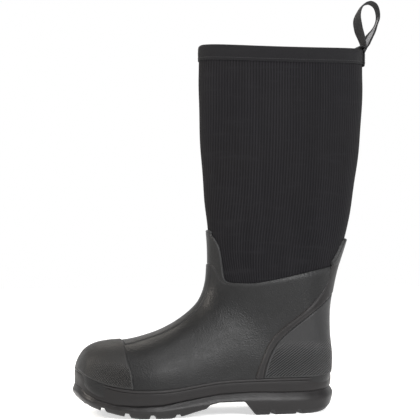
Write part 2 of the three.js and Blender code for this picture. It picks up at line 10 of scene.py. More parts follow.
import bmesh
import bpy
import numpy as np
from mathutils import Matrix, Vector


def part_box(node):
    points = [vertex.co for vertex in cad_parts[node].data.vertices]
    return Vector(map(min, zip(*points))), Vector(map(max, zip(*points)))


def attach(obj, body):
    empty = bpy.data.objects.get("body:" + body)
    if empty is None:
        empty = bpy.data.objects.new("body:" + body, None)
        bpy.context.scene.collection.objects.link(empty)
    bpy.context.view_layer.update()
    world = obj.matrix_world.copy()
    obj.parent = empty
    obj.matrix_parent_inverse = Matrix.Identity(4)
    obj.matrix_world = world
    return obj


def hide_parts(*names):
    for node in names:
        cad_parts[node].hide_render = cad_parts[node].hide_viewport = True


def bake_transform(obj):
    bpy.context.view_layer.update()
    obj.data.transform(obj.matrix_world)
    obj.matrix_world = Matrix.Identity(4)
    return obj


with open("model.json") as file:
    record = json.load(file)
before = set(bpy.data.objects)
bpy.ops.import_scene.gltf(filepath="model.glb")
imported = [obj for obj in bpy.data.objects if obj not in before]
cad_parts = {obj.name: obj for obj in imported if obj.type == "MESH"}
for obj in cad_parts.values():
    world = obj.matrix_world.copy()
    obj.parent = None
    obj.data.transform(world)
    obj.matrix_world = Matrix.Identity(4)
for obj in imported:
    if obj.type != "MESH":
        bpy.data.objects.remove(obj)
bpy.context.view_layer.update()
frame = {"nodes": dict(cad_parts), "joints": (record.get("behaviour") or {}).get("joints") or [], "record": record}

joints = {joint["name"]: joint["pos_m"] for joint in frame["joints"]}
shank_low, shank_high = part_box("steel_shank")
ANKLE_X = 70.0
SHIFT = np.array([joints["ankle_flex"][0] * 1000 - ANKLE_X, (shank_low.y + shank_high.y) * 500, 0.0])


def to_row(point):
    """A design point in mm as a point of the row frame in metres."""
    return tuple((np.asarray(point, float) + SHIFT) / 1000)


# ---- The form: one row for each section, from the toe's tip to the collar ----
# x and z of the front end, x and z of the back end, half-widths to the outer and inner side, sideways place
# of both ends, where the section is widest, exponent of its back half, share of the foot's floor.

STATIONS = np.array([
    (-149.4, 48, -149.4, 48, 0, 0, 7, 0.1, 2.5, 0),
    (-148.8, 56, -148.9, 41.5, 16, 14, 7, 0.15, 3, 0.2),
    (-145.2, 65.5, -145.8, 34.5, 29, 26, 7, 0.2, 5, 0.6),
    (-138.5, 74.6, -139.6, 27.5, 39, 34.5, 6.5, 0.3, 7, 0.85),
    (-127, 80.8, -129, 21, 46.5, 41.5, 6, 0.35, 9, 1),
    (-111, 83.8, -111, 15.6, 52.5, 46, 5, 0.4, 10, 1),
    (-92, 85.2, -88, 13.8, 56.5, 49.5, 3.5, 0.45, 10, 1),
    (-74, 89.2, -60, 14.8, 57.5, 50.5, 2, 0.5, 10, 1),
    (-54, 95.8, -28, 20, 54.5, 47.5, 1.5, 0.5, 10, 1),
    (-36, 105, 8, 25, 49, 43, 1, 0.45, 10, 1),
    (-20.5, 116, 47, 26.4, 45, 41, 0.5, 0.4, 9, 1),
    (-9, 127.5, 86, 25.2, 42.5, 39.5, 0, 0.4, 8, 1),
    (-2.5, 140, 120, 25.5, 41, 38.5, 0, 0.45, 6, 1),
    (1, 153, 144.6, 33, 40.5, 38.5, 0, 0.5, 3.2, 0.7),
    (2.3, 167, 151.2, 60, 40, 38.5, 0, 0.5, 2.4, 0.1),
    (2.6, 182, 149.2, 93, 40, 39, 0, 0.45, 2.2, 0),
    (2, 200, 150.6, 126, 40.5, 39.5, 0, 0.35, 2.1, 0),
    (0, 222, 160, 166, 41, 40.5, 0, 0.25, 2, 0),
    (-3.5, 252, 175, 214, 42, 42, 0, 0.15, 2, 0),
    (-6.5, 294, 186.5, 278, 43, 43, 0, 0.08, 2, 0),
    (-8.8, 343, 192.8, 340, 43.5, 43.5, 0, 0, 2, 0),
    (-9.8, 388, 195, 388, 43.5, 43.5, 0, 0, 2, 0),
    (-9.5, 428, 194.9, 428, 43.5, 43.5, 0, 0, 2, 0),
])
LAST = len(STATIONS) - 1
COLLAR_DIP = 4.0
TIP = 0.02  # the first station number that has a way round it


def smooth(x, low, high):
    """A soft step, from 0 at low to 1 at high."""
    t = np.clip((x - low) / (high - low), 0, 1)
    return t * t * (3 - 2 * t)


def spline(points, at, closed=False):
    """A Catmull-Rom curve through points, at point numbers."""
    p = np.asarray(points, float)
    at = np.asarray(at, float)
    if closed:
        i = np.floor(at).astype(int)
        w = (at - i)[..., None]
        a, b, c, d = (p[(i + k) % len(p)] for k in (-1, 0, 1, 2))
    else:
        at = np.clip(at, 0, len(p) - 1)
        i = np.minimum(at.astype(int), len(p) - 2)
        w = (at - i)[..., None]
        p = np.vstack([2 * p[0] - p[1], p, 2 * p[-1] - p[-2]])
        a, b, c, d = (p[i + k] for k in range(4))
    t0, t1 = (c - a) / 2, (d - b) / 2
    return b + w * (t0 + w * ((3 * (c - b) - 2 * t0 - t1) + w * (2 * (b - c) + t0 + t1)))


def line(points, count):
    """A smooth side-view line through points, as count points."""
    return spline(points, np.linspace(0, len(points) - 1, count))


def section(n, angle, depth=0.0, floor=None):
    """Points of the form at station numbers n and angles, moved in by a depth, at the sole by floor."""
    n, angle, depth = np.broadcast_arrays(
        np.asarray(n, float), np.asarray(angle, float), np.asarray(depth, float)
    )
    floor = depth if floor is None else floor
    s = spline(STATIONS, n)
    step = spline(STATIONS, np.minimum(n + 1e-3, LAST)) - spline(STATIONS, np.maximum(n - 1e-3, 0))
    front_way = step[..., 0:2] / np.maximum(np.linalg.norm(step[..., 0:2], axis=-1, keepdims=True), 1e-9)
    back_way = step[..., 2:4] / np.maximum(np.linalg.norm(step[..., 2:4], axis=-1, keepdims=True), 1e-9)
    front = np.stack([s[..., 0] + depth * front_way[..., 1], s[..., 1] - depth * front_way[..., 0]], -1)
    back = np.stack([s[..., 2] - depth * back_way[..., 1], s[..., 3] + depth * back_way[..., 0]], -1)
    widest = front + (back - front) * ((1 + s[..., 7:8]) / 2)
    back[..., 1] += (floor - depth) * np.clip(s[..., 9], 0, 1)
    cosine, sine = np.cos(angle), np.sin(angle)
    outer = sine >= 0
    half = np.maximum(np.where(outer, s[..., 4], s[..., 5]) - depth, 0.5 * (s[..., 4] > 0))
    power = 2 / np.where(cosine > 0, 2.15, s[..., 8])
    end = np.where((cosine > 0)[..., None], front, back)
    xz = widest + (end - widest) * (np.abs(cosine) ** power)[..., None]
    y = s[..., 6] + np.where(outer, -1, 1) * half * np.abs(sine) ** power
    z = xz[..., 1] - COLLAR_DIP * sine**2 * smooth(n, LAST - 2, LAST)
    return np.stack([xz[..., 0], y, z], -1)


def evenly(values, lengths, count):
    """Values at count equal steps along a way, from values at its points and the lengths between these."""
    way = np.concatenate([[0], np.cumsum(lengths)])
    return np.interp(np.linspace(0, way[-1], count), way, values)


def girth_table(rows=221, columns=600):
    """Angles at equal steps of the way round, for each station number: 0 at the front, 0.5 at the back.

    Angles are tried closer together at the corners of the foot's floor, and the way across it counts less.
    """
    q = np.linspace(0, 1, 240)
    corner = np.where(q < 0.5, 90 + 45 * (2 * q) ** 5, 180 - 45 * (2 * (1 - q)) ** 5)
    half = np.radians(np.concatenate([np.linspace(0, 89.5, 120), corner]))
    table = []
    for n in np.linspace(TIP, LAST, rows):
        row = []
        for side in (half, 2 * np.pi - half[::-1]):
            steps = np.linalg.norm(np.diff(section(n, side), axis=0), axis=1)
            middle = (np.cos(side[1:]) + np.cos(side[:-1])) / 2
            weight = 1 - 0.7 * np.clip(spline(STATIONS, n)[9], 0, 1) * smooth(-middle, 0.02, 0.5)
            row.append(evenly(side, steps * weight, columns // 2 + 1))
        table.append(np.concatenate([row[0][:-1], row[1]]))
    return np.array(table)


GIRTH = girth_table()


def angle_at(n, u):
    """The angle at a share u of the way round the section at station number n."""
    rows, columns = GIRTH.shape[0] - 1, GIRTH.shape[1] - 1
    i = np.clip((np.asarray(n, float) - TIP) / (LAST - TIP), 0, 1) * rows
    j = (np.asarray(u, float) % 1.0) * columns
    i0, j0 = np.minimum(i.astype(int), rows - 1), np.minimum(j.astype(int), columns - 1)
    a, b = i - i0, j - j0
    low = GIRTH[i0, j0] * (1 - b) + GIRTH[i0, j0 + 1] * b
    high = GIRTH[i0 + 1, j0] * (1 - b) + GIRTH[i0 + 1, j0 + 1] * b
    return low * (1 - a) + high * a


def skin(n, u, depth=0.0, floor=None):
    """Points of the form at station numbers n and shares u of the way round."""
    n, u = np.broadcast_arrays(n, u)
    return section(n, angle_at(n, u), depth, floor)


def girth_lengths():
    """The way round the form, in mm, at a row of station numbers."""
    numbers = np.linspace(0.05, LAST, 60)
    ring = skin(numbers[:, None], np.linspace(0, 1, 301)[None, :])
    return numbers, np.linalg.norm(np.diff(ring, axis=1), axis=-1).sum(axis=1)


GIRTH_NUMBERS, GIRTH_LENGTHS = girth_lengths()


def pattern_place(n, u, z):
    """The place on a flat pattern, in mm: the way from the middle of a side, mirrored at the ridges, and z."""
    around = 0.25 - np.abs(np.asarray(u) % 1.0 - 0.5)
    return np.stack([around * np.interp(n, GIRTH_NUMBERS, GIRTH_LENGTHS), z], -1)


# ---- Lines of the side view, x and z ----

SOLE_TOP = np.array([(-162, 44), *STATIONS[2:13, 2:4], (144, 28.3), (162, 32.5)])
RAND_TOP = line([(-160, 59), (-149, 52), (-138, 44.5), (-123, 38.5), (-104, 34.2), (-80, 32.2), (-45, 33.6),
                 (8, 40.5), (60, 42), (110, 42.2), (138, 44), (160, 48.5)], 120)
TREAD = np.vstack([
    line([(-162, 34), (-154, 24.5), (-145, 16.5), (-132, 10.4), (-114, 5.6), (-97, 2), (-86, 0.3),
          (-80, 0)], 60),
    line([(112, 0), (124, 0.6), (135, 2.4), (144, 6), (150, 11), (158, 20)], 40),
])
UPPER_TOP = np.vstack([
    line([(-40, 214.5), (-1, 213.5), (4, 207), (9, 199), (12.5, 189), (14.6, 176), (16, 164)], 40),
    line([(17.2, 157), (21, 153), (29, 151.6), (47, 151), (63, 152.8), (90, 158), (120, 164.5), (146, 169.5),
          (175, 176), (210, 184)], 60),
])
BAND_UPPER = line([(185, 175.5), (153, 173.5), (146.5, 169), (143.5, 155), (134, 141), (114, 122.5), (90, 104),
                   (77, 93.5), (66.5, 80), (58, 62), (52, 48), (48, 32)], 70)
BAND_LOWER = line([(185, 156), (175, 150), (154, 140.5), (138, 129.5), (109, 109), (84, 89), (73, 76),
                   (65.5, 61), (61.5, 48), (58, 32)], 70)
TAB_EDGE = line([(190, 205), (170, 202.5), (163.5, 196), (154, 181), (149, 175.2)], 30)
SHIN_SEAM = line([(-40, 174.9), (-12, 174.8), (2, 174.2), (6.4, 171), (10.2, 164.4), (14, 155.5), (22, 150.5),
                  (40, 148)], 40)
BUMPER_EDGE = line([(-90, 20), (-92, 35), (-94, 53), (-97.5, 64), (-98, 82), (-96, 100)], 30)


def height_of(points, x):
    return np.interp(x, points[:, 0], points[:, 1])


def polygon_distance(outline, points):
    """Distance of points from an outline in the side view, positive inside it."""
    p = points[..., [0, 2]].reshape(-1, 2)
    nearest = np.full(len(p), np.inf)
    inside = np.zeros(len(p), bool)
    for a, b in zip(outline, np.roll(outline, -1, axis=0)):
        way = b - a
        t = np.clip(((p - a) @ way) / max(way @ way, 1e-12), 0, 1)
        nearest = np.minimum(nearest, np.linalg.norm(p - a - t[:, None] * way, axis=1))
        crosses = (a[1] > p[:, 1]) != (b[1] > p[:, 1])
        if b[1] != a[1]:
            inside ^= crosses & (p[:, 0] < a[0] + (p[:, 1] - a[1]) * way[0] / way[1])
    return np.where(inside, nearest, -nearest).reshape(points.shape[:-1])


# ---- Materials: colours are linear, and texture scales and depths are in metres ----

MATERIALS = {}
RIB_PITCH, THREAD_PITCH = 3.45, 1.15
KNURL_X, KNURL_Y, KNURL_RADIUS, KNURL_PITCH, KNURL_SLANT = -97.0, 5.0, 52.0, 2.6, 0.8
HEEL_SLOPE, HEEL_PITCH = 0.72, 2.9
WAVES_MEAN, DIAMONDS_MEAN = 0.5, 0.25


class Nodes:
    """Short ways to put nodes into a tree. where is the coordinate that its textures use."""

    def __init__(self, tree, coordinate):
        self.tree = tree
        self.where = self.node("TexCoord", {}, coordinate)

    def put(self, socket, value):
        if isinstance(value, bpy.types.NodeSocket):
            self.tree.links.new(value, socket)
        else:
            socket.default_value = value

    def node(self, kind, inputs, output=0, **options):
        made = self.tree.nodes.new("ShaderNode" + kind)
        for key, value in options.items():
            setattr(made, key, value)
        for key, value in inputs.items():
            self.put(made.inputs[key], value)
        return made.outputs[output]

    def math(self, operation, a, b=0.0):
        return self.node("Math", {0: a, 1: b}, operation=operation)

    def remap(self, value, low, high, to_low=0.0, to_high=1.0):
        inputs = {"Value": value, "From Min": low, "From Max": high, "To Min": to_low, "To Max": to_high}
        return self.node("MapRange", inputs)

    def axis(self, name, where=None):
        return self.node("SeparateXYZ", {0: where or self.where}, "XYZ".index(name))

    def waves(self, value, pitch):
        """A wave from 0 to 1 along a coordinate."""
        return self.remap(self.math("SINE", self.math("MULTIPLY", value, 2 * math.pi / pitch)), -1.0, 1.0)

    def noise(self, scale, detail=3.0, roughness=0.55, stretch=None):
        where = self.node("Mapping", {"Vector": self.where, "Scale": stretch}) if stretch else self.where
        inputs = {"Vector": where, "Scale": scale, "Detail": detail, "Roughness": roughness}
        return self.node("TexNoise", inputs)

    def cells(self, scale, feature, randomness=1.0):
        inputs = {"Vector": self.where, "Scale": scale, "Randomness": randomness}
        return self.node("TexVoronoi", inputs, feature=feature)


class Shader(Nodes):
    """A procedural material, kept in MATERIALS under its name."""

    def __init__(self, name, color, roughness, **settings):
        MATERIALS[name] = bpy.data.materials.new(name)
        MATERIALS[name].use_nodes = True
        super().__init__(MATERIALS[name].node_tree, "Object")
        self.color = color
        self.inputs = self.tree.nodes["Principled BSDF"].inputs
        for key, value in {"Base_Color": (*color, 1), "Roughness": roughness, **settings}.items():
            self.inputs[key.replace("_", " ")].default_value = value

    def mask(self):
        """How much of the material's second look a piece shows at a place."""
        return self.node("Attribute", {}, "Fac", attribute_name="mask")

    def tint(self, *layers):
        """Mixes (amount, colour) layers over the base colour."""
        now = (*self.color, 1)
        for amount, color in layers:
            now = self.node("Mix", {0: amount, 6: now, 7: (*color, 1)}, 2, data_type="RGBA")
        self.put(self.inputs["Base Color"], now)

    def bump(self, *layers):
        """Stacks (height, depth in metres) layers of relief."""
        under = {}
        for height, depth in layers:
            inputs = {"Strength": 1.0, "Distance": depth, "Height": height, **under}
            under = {"Normal": self.node("Bump", inputs)}
        self.put(self.inputs["Normal"], under["Normal"])


def shade(color, factor, lift=0.0):
    """A colour made lighter or darker."""
    return tuple(c * factor + lift for c in color)


def rubber(name, color, roughness, grain, dusty=0.16, relief=None, gloss=0.22):
    """Satin rubber: pebble grain, dust, edges lightened by wear and a painted highlight, and, where the mask is 1,
    a moulded relief with a painted highlight on its tops.
    """
    s = Shader(name, color, roughness, Specular_IOR_Level=gloss)
    pale = shade(color, 2.0, 0.008)
    blotch = s.remap(s.noise(22.0, 4.0), 0.35, 0.7)
    dust = s.remap(s.noise(90.0, 5.0, 0.7), 0.56, 0.78, 0.0, dusty)
    # Convex edges are lightened: partly wear, partly a painted highlight along the rims.
    wear_and_highlight = s.remap(s.node("NewGeometry", {}, "Pointiness"), 0.503, 0.54, 0.0, 0.5)
    layers = [(s.math("MULTIPLY", blotch, 0.6), shade(color, 1.35)), (dust, pale), (wear_and_highlight, pale)]
    pebbles, fine, uneven = s.cells(720.0, "SMOOTH_F1"), s.noise(2600.0, 2.0), s.noise(45.0, 2.0)
    bumps = [(pebbles, grain), (fine, grain * 0.25), (uneven, 0.0005)]
    if relief:
        raised = s.math("MULTIPLY", relief(s), s.mask())
        bumps.append((raised, 0.0016))
        # The relief's raised tops are tinted lighter: a painted highlight.
        layers.append((s.remap(raised, -0.1, 0.35), shade(color, 3.0, 0.018)))
    s.tint(*layers)
    s.put(s.inputs["Roughness"], s.remap(s.noise(130.0, 4.0), 0.3, 0.7, roughness - 0.05, roughness + 0.07))
    s.bump(*bumps)


def knurl(s):
    """Fine diamonds round the toe, whose tip is a half circle in plan."""
    centre_x, centre_y, _ = to_row((KNURL_X, KNURL_Y, 0))
    x = s.math("SUBTRACT", centre_x, s.axis("X"))
    y = s.math("SUBTRACT", s.axis("Y"), centre_y)
    around = s.math("MULTIPLY", s.math("ARCTAN2", y, x), KNURL_RADIUS / 1000)
    up = s.math("MULTIPLY", s.axis("Z"), KNURL_SLANT)
    one, other = (s.waves(s.math(sign, around, up), KNURL_PITCH / 1000) for sign in ("ADD", "SUBTRACT"))
    return s.math("SUBTRACT", s.math("MULTIPLY", one, other), DIAMONDS_MEAN)


def slanted_ribs(s):
    """Ribs that rise towards the back of the heel."""
    slant = s.math("SUBTRACT", s.axis("Z"), s.math("MULTIPLY", s.axis("X"), HEEL_SLOPE))
    return s.math("SUBTRACT", s.waves(slant, HEEL_PITCH / 1000), WAVES_MEAN)


def ribbed_textile(name, color):
    """Knitted facing: upright ribs that wander a little, with a painted highlight on their crests, faint threads
    across them, and pale flecks.
    """
    s = Shader(name, color, 0.9, Specular_IOR_Level=0.07, Sheen_Weight=0.02)
    uv = s.node("UVMap", {}, uv_map="form")
    wander = s.math("MULTIPLY", s.noise(30.0, 2.0, stretch=(1, 1, 0.25)), 2.4)
    ribs = s.waves(s.math("ADD", s.axis("X", uv), wander), RIB_PITCH)
    threads = s.waves(s.axis("Y", uv), THREAD_PITCH)
    rib_highlight_strength = s.remap(s.noise(60.0, 3.0, stretch=(1, 1, 0.12)), 0.35, 0.65, 0.65, 1.0)
    mottle = s.remap(s.noise(14.0, 4.0, stretch=(1, 1, 0.35)), 0.38, 0.68, 0.0, 0.6)
    warm = s.remap(s.noise(8.0, 2.0), 0.45, 0.7, 0.0, 0.5)
    flecks = s.remap(s.noise(240.0, 2.0, stretch=(0.1, 0.1, 1)), 0.56, 0.7, 0.0, 0.7)
    # The third layer tints the rib crests lighter, more on some ribs than on others: a painted highlight.
    s.tint(
        (mottle, (0.0068, 0.0066, 0.0076)),
        (warm, (0.0072, 0.0066, 0.0066)),
        (s.math("MULTIPLY", s.math("MULTIPLY", ribs, rib_highlight_strength), 0.75), (0.0135, 0.013, 0.0148)),
        (flecks, (0.0105, 0.0103, 0.0115)),
    )
    s.bump((ribs, 0.00035), (threads, 0.00006), (s.noise(900.0, 3.0), 0.0001))


def knit(name, color, pale, cell=900.0, depth=0.00018):
    """Jersey, whose loops are small even cells."""
    s = Shader(name, color, 0.95, Specular_IOR_Level=0.2, Sheen_Weight=0.05)
    loops = s.cells(cell, "F1", 0.35)
    s.tint((s.remap(loops, 0.1, 0.7, 0.5, 0.0), pale), (s.remap(s.noise(20.0), 0.4, 0.7, 0.0, 0.3), pale))
    s.bump((loops, depth), (s.noise(2500.0, 2.0), 0.00005))


def woven(name, color, pale, across, along, stripe=None):
    """Twill tape on a UV map in mm, along and across it. A stripe is woven in where the mask is 1."""
    s = Shader(name, color, 0.82, Specular_IOR_Level=0.12, Sheen_Weight=0.03)
    uv = s.node("UVMap", {}, uv_map="form")
    u, v = s.axis("X", uv), s.axis("Y", uv)
    twill = s.waves(s.math("ADD", s.math("DIVIDE", u, along), s.math("DIVIDE", v, across)), 1.0)
    fuzz = s.noise(1800.0, 3.0)
    layers = [(s.math("MULTIPLY", twill, 0.6), pale), (s.remap(fuzz, 0.5, 0.8, 0.0, 0.25), pale)]
    if stripe:
        shadow = s.math("MULTIPLY", s.math("MULTIPLY", twill, 0.3), s.mask())
        layers += [(s.mask(), stripe), (shadow, shade(stripe, 0.6))]
    s.tint(*layers)
    s.bump((twill, 0.00018), (s.waves(u, along), 0.0001), (fuzz, 0.00008))


def plain(name, color, roughness, grain_scale, grain, metallic=0.0, pale=None):
    s = Shader(name, color, roughness, Metallic=metallic)
    s.tint((s.remap(s.noise(30.0, 4.0), 0.4, 0.7, 0.0, 0.6), pale or shade(color, 1.3, 0.01)))
    s.bump((s.noise(grain_scale, 4.0), grain))


rubber("upper_rubber", (0.0066, 0.0067, 0.0070), 0.4, 0.00027)
rubber("toe_rubber", (0.0068, 0.0067, 0.0067), 0.48, 0.0002, relief=knurl)
rubber("heel_rubber", (0.0095, 0.0095, 0.0099), 0.42, 0.00012, relief=slanted_ribs)
rubber("trim_rubber", (0.0064, 0.0058, 0.0060), 0.46, 0.00008, 0.1)
rubber("sole_rubber", (0.0060, 0.0054, 0.0057), 0.40, 0.00010, 0.2, gloss=0.28)
ribbed_textile("facing_textile", (0.0042, 0.0040, 0.0048))
plain("neoprene", (0.01, 0.01, 0.011), 0.85, 1400.0, 0.0001)
knit("lining", (0.03, 0.032, 0.036), (0.055, 0.058, 0.065))
woven("binding", (0.0045, 0.0044, 0.005), (0.0125, 0.0122, 0.0138), 1.5, 1.2)
woven("webbing", (0.012, 0.012, 0.0126), (0.034, 0.034, 0.036), 1.6, 1.3, (0.42, 0.42, 0.43))
plain("thread", (0.011, 0.011, 0.012), 0.7, 3000.0, 0.00008)
plain("steel", (0.5, 0.51, 0.53), 0.38, 700.0, 0.00005, metallic=1.0)
plain("edge_plastic", (0.12, 0.12, 0.125), 0.5, 900.0, 0.00004)
plain("midsole_foam", (0.15, 0.15, 0.16), 0.9, 1500.0, 0.0002)
plain("board", (0.42, 0.34, 0.24), 0.9, 800.0, 0.00012, pale=(0.5, 0.43, 0.33))
plain("footbed_foam", (0.09, 0.1, 0.11), 0.9, 1500.0, 0.0002)
knit("footbed_cloth", (0.03, 0.032, 0.036), (0.07, 0.074, 0.08), 1100.0, 0.00015)


# ---- Meshes ----


def piece(name, points, faces, finish, body=None, stands_for=None, uv=None, mask=None, sharp=40, slot=None):
    """A mesh object from design points and faces.

    It stands for the CAD node of its name unless stands_for says otherwise. uv is each point's place on its
    pattern, in mm; mask is how much of the material's second look shows there.
    """
    mesh = bpy.data.meshes.new(name)
    used, back = np.unique(np.concatenate([np.ravel(f) for f in faces]), return_inverse=True)
    points = np.asarray(points, float)[used]
    rows, start = [], 0
    for group in faces:
        rows += back[start:start + group.size].reshape(group.shape).tolist()
        start += group.size
    mesh.from_pydata(((points + SHIFT) / 1000).tolist(), [], rows)
    if uv is not None:
        corners = np.zeros(len(mesh.loops), np.int32)
        mesh.loops.foreach_get("vertex_index", corners)
        values = np.asarray(uv, np.float32)[used][corners]
        mesh.uv_layers.new(name="form").data.foreach_set("uv", values.ravel())
    if mask is not None:
        shares = np.asarray(mask, np.float32)[used]
        mesh.attributes.new("mask", "FLOAT", "POINT").data.foreach_set("value", shares)
    mesh.validate()
    obj = bpy.data.objects.new(name, mesh)
    bpy.context.scene.collection.objects.link(obj)
    work = bmesh.new()
    work.from_mesh(mesh)
    bmesh.ops.remove_doubles(work, verts=work.verts, dist=2e-6)
    bmesh.ops.dissolve_degenerate(work, edges=work.edges, dist=1e-7)
    bmesh.ops.recalc_face_normals(work, faces=work.faces)
    work.to_mesh(mesh)
    work.free()
    mesh.shade_smooth()
    mesh.set_sharp_from_angle(angle=math.radians(sharp))
    mesh.materials.append(MATERIALS[finish])
    if body:
        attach(obj, body)
    if stands_for is None and name in frame["nodes"]:
        stands_for = (name,)
    if stands_for:
        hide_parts(*stands_for)
    return obj


def quads(grid, wrap_rows=False, wrap_columns=False):
    """Faces between neighbouring rows and columns of a grid of point numbers."""
    if wrap_rows:
        grid = np.vstack([grid, grid[:1]])
    if wrap_columns:
        grid = np.hstack([grid, grid[:, :1]])
    return np.stack([grid[:-1, :-1], grid[:-1, 1:], grid[1:, 1:], grid[1:, :-1]], -1).reshape(-1, 4)


def tube(rings, wrap_rows=False):
    """The points of closed rings in one list, their numbers by ring, and the faces between the rings."""
    rings = np.asarray(rings)
    grid = np.arange(rings.shape[0] * rings.shape[1]).reshape(rings.shape[:2])
    return rings.reshape(-1, 3), grid, quads(grid, wrap_rows, True)


def snap(params, distance, level, free, wrap):
    """Moves the free grid points beside a level of the distance onto it, along their grid lines."""
    half_way = 0.5001
    best = np.full(distance.shape, half_way)
    target = params.copy()
    for axis, way in ((0, 1), (0, -1), (1, 1), (1, -1)):
        other = np.roll(distance, -way, axis)
        place = np.roll(params, -way, axis).copy()
        valid = free.copy()
        edge = [slice(None)] * 2
        edge[axis] = -1 if way == 1 else 0
        if axis == 0 or not wrap:
            valid[tuple(edge)] = False
        else:
            place[tuple(edge)][..., 1] += way
        gap = other - distance
        crosses = valid & ((distance - level) * (other - level) < 0)
        share = np.where(crosses, (level - distance) / np.where(gap == 0, 1, gap), 1.0)
        better = share < best
        best = np.where(better, share, best)
        target = np.where(better[..., None], params + share[..., None] * (place - params), target)
    return target, best < half_way


def patch(name, rows, columns, reach, outside, inside, finish, edge, wrap=False, mask=None, body="foot",
          **options):
    """A piece of skin on the form, cut from a grid of station numbers and shares of the way round.

    reach(points) is how far a point is inside the outline, outside(d, points) how far the outer face stands out
    there, and inside the depth of the inner face. The grid follows the outline and a second line at edge.
    """
    n, u = np.meshgrid(rows, columns, indexing="ij")
    params = np.stack([n, u], -1)
    at = skin(n, u)
    reached = reach(at)
    along = np.gradient(at, axis=0)
    around = (np.roll(at, -1, 1) - np.roll(at, 1, 1)) / 2 if wrap else np.gradient(at, axis=1)
    slope_n = np.gradient(reached, axis=0) / np.maximum(np.linalg.norm(along, axis=-1), 1e-6)
    slope_u = np.gradient(reached, axis=1) / np.maximum(np.linalg.norm(around, axis=-1), 1e-6)
    distance = reached / np.clip(np.hypot(slope_n, slope_u), 0.35, 1.0)
    free = np.ones(distance.shape, bool)
    for level in (0.0, edge):
        params, hit = snap(params, distance, level, free, wrap)
        distance = np.where(hit, level, distance)
        free &= ~hit
    n, u = params[..., 0], params[..., 1]
    at, d = skin(n, u), np.maximum(distance, 0)
    points = np.vstack([skin(n, u, -outside(d, at)).reshape(-1, 3), skin(n, u, inside).reshape(-1, 3)])
    keep = (distance >= -1e-9).ravel()
    size = distance.size
    cells = quads(np.arange(size).reshape(distance.shape), wrap_columns=wrap)
    kept = keep[cells]
    whole = cells[kept.all(axis=1)]
    partly = cells[kept.sum(axis=1) == 3]
    missing = np.argmin(keep[partly], axis=1)
    corners = np.take_along_axis(partly, (missing[:, None] + np.arange(1, 4)) % 4, axis=1)
    edges = np.vstack([f[:, [k, (k + 1) % f.shape[1]]] for f in (whole, corners) for k in range(f.shape[1])])
    forward = edges[:, 0] * size + edges[:, 1]
    backward = edges[:, 1] * size + edges[:, 0]
    border = edges[~np.isin(forward, backward)]
    walls = np.stack([border[:, 0], border[:, 1], border[:, 1] + size, border[:, 0] + size], -1)[:, ::-1]
    faces = [whole, walls, whole[:, ::-1] + size]
    if len(corners):
        faces += [corners, corners[:, ::-1] + size]
    pattern = pattern_place(n, u, at[..., 2]).reshape(-1, 2)
    share = np.zeros(size) if mask is None else mask(d, at).ravel()
    return piece(name, points, faces, finish, uv=np.vstack([pattern, pattern]), mask=np.tile(share, 2),
                 body=body, **options)


def rounded(distance, edge):
    """A quarter round from 0 at the outline to 1 at the edge distance."""
    return np.sqrt(np.clip(1 - (1 - np.clip(distance / edge, 0, 1)) ** 2, 0, 1))


def ripple(value, pitch):
    return 0.5 + 0.5 * np.sin(value * 2 * np.pi / pitch)


def within(*corners):
    """How far a point is inside the side-view outline made of rows of corners."""
    outline = np.vstack(corners)
    return lambda p: polygon_distance(outline, p)


def below_line(points, offset=0.0):
    """How far below a side-view line, moved up by an offset, a point lies."""
    (first, last), reach, deep = points[[0, -1]], np.array([400, 0]), np.array([0, 600])
    corners = np.vstack([first - reach, points, last + reach, last + reach - deep, first - reach - deep])
    return within(corners + (0, offset))


def both(*conditions):
    return lambda p: np.minimum.reduce([c(p) for c in conditions])


# ---- Rubber shell ----

SHELL = 2.2
SEAM_GAP = 0.15
UNDER = 0.05
TAB_START = 149
under_seam = below_line(SHIN_SEAM)
under_top = below_line(UPPER_TOP)


def over_seam(p):
    return -under_seam(p) - SEAM_GAP


def shin_region(p):
    """Distance outside the shin tab, whose sides end where the seam meets the top line."""
    return np.where(p[..., 0] < 22, under_seam(p), 50.0)


def lip(edge, drop, seam_drop):
    """A rounded rim along the top line, and a shallower one along a seam between two rubber pieces."""
    def height(d, p):
        at_seam = (under_top(p) > 2.0) | (p[..., 0] > TAB_START)
        return np.where(at_seam, seam_drop, drop) * (rounded(d, edge) - 1)

    return height


def pad(height, edge):
    """A raised pad with rounded sides."""
    return lambda d, p: 0.1 + height * rounded(d, edge)


rows_foot = np.concatenate([[0.05, 0.2, 0.4, 0.6, 0.8], np.arange(1, 18.7, 0.085)])
patch("rubber_upper", rows_foot, np.arange(0, 1, 1 / 250), both(under_top, shin_region),
      lip(1.3, 1.1, 0.4), SHELL, "upper_rubber", wrap=True, edge=1.3)
patch("shin_tab", np.arange(13.2, 18.2, 0.035), np.arange(-0.11, 0.1101, 1 / 560), both(under_top, over_seam),
      lip(1.0, 0.9, 0.35), SHELL, "upper_rubber", edge=1.0)
in_tab = both(within(TAB_EDGE, [(TAB_START, 160), (230, 160), (230, 205)]), lambda p: -under_top(p) - SEAM_GAP)
patch("achilles_tab", np.arange(16.6, 18.4, 0.018), np.arange(0.36, 0.6401, 1 / 560), in_tab,
      lambda d, p: 1.3 * rounded(d, 1.0) - 0.3, SHELL, "upper_rubber", edge=1.0)


def on_rand(p, lift=0.6):
    return p[..., 2] - height_of(RAND_TOP, p[..., 0]) - lift


def toe_side(p):
    """How far a point is in front of the toe guard's rear edge."""
    return np.interp(p[..., 2], BUMPER_EDGE[:, 1], BUMPER_EDGE[:, 0]) - p[..., 0]


def knurl_field(d, p):
    """Where the toe is knurled: a field above the rand, strongest towards the guard's rear edge."""
    low = height_of(RAND_TOP, p[..., 0])
    field = smooth(p[..., 2], low + 2, low + 4) * (1 - smooth(p[..., 2], low + 12, low + 31))
    return field * smooth(d, 2.0, 3.2) * smooth(p[..., 0], -150, -106)


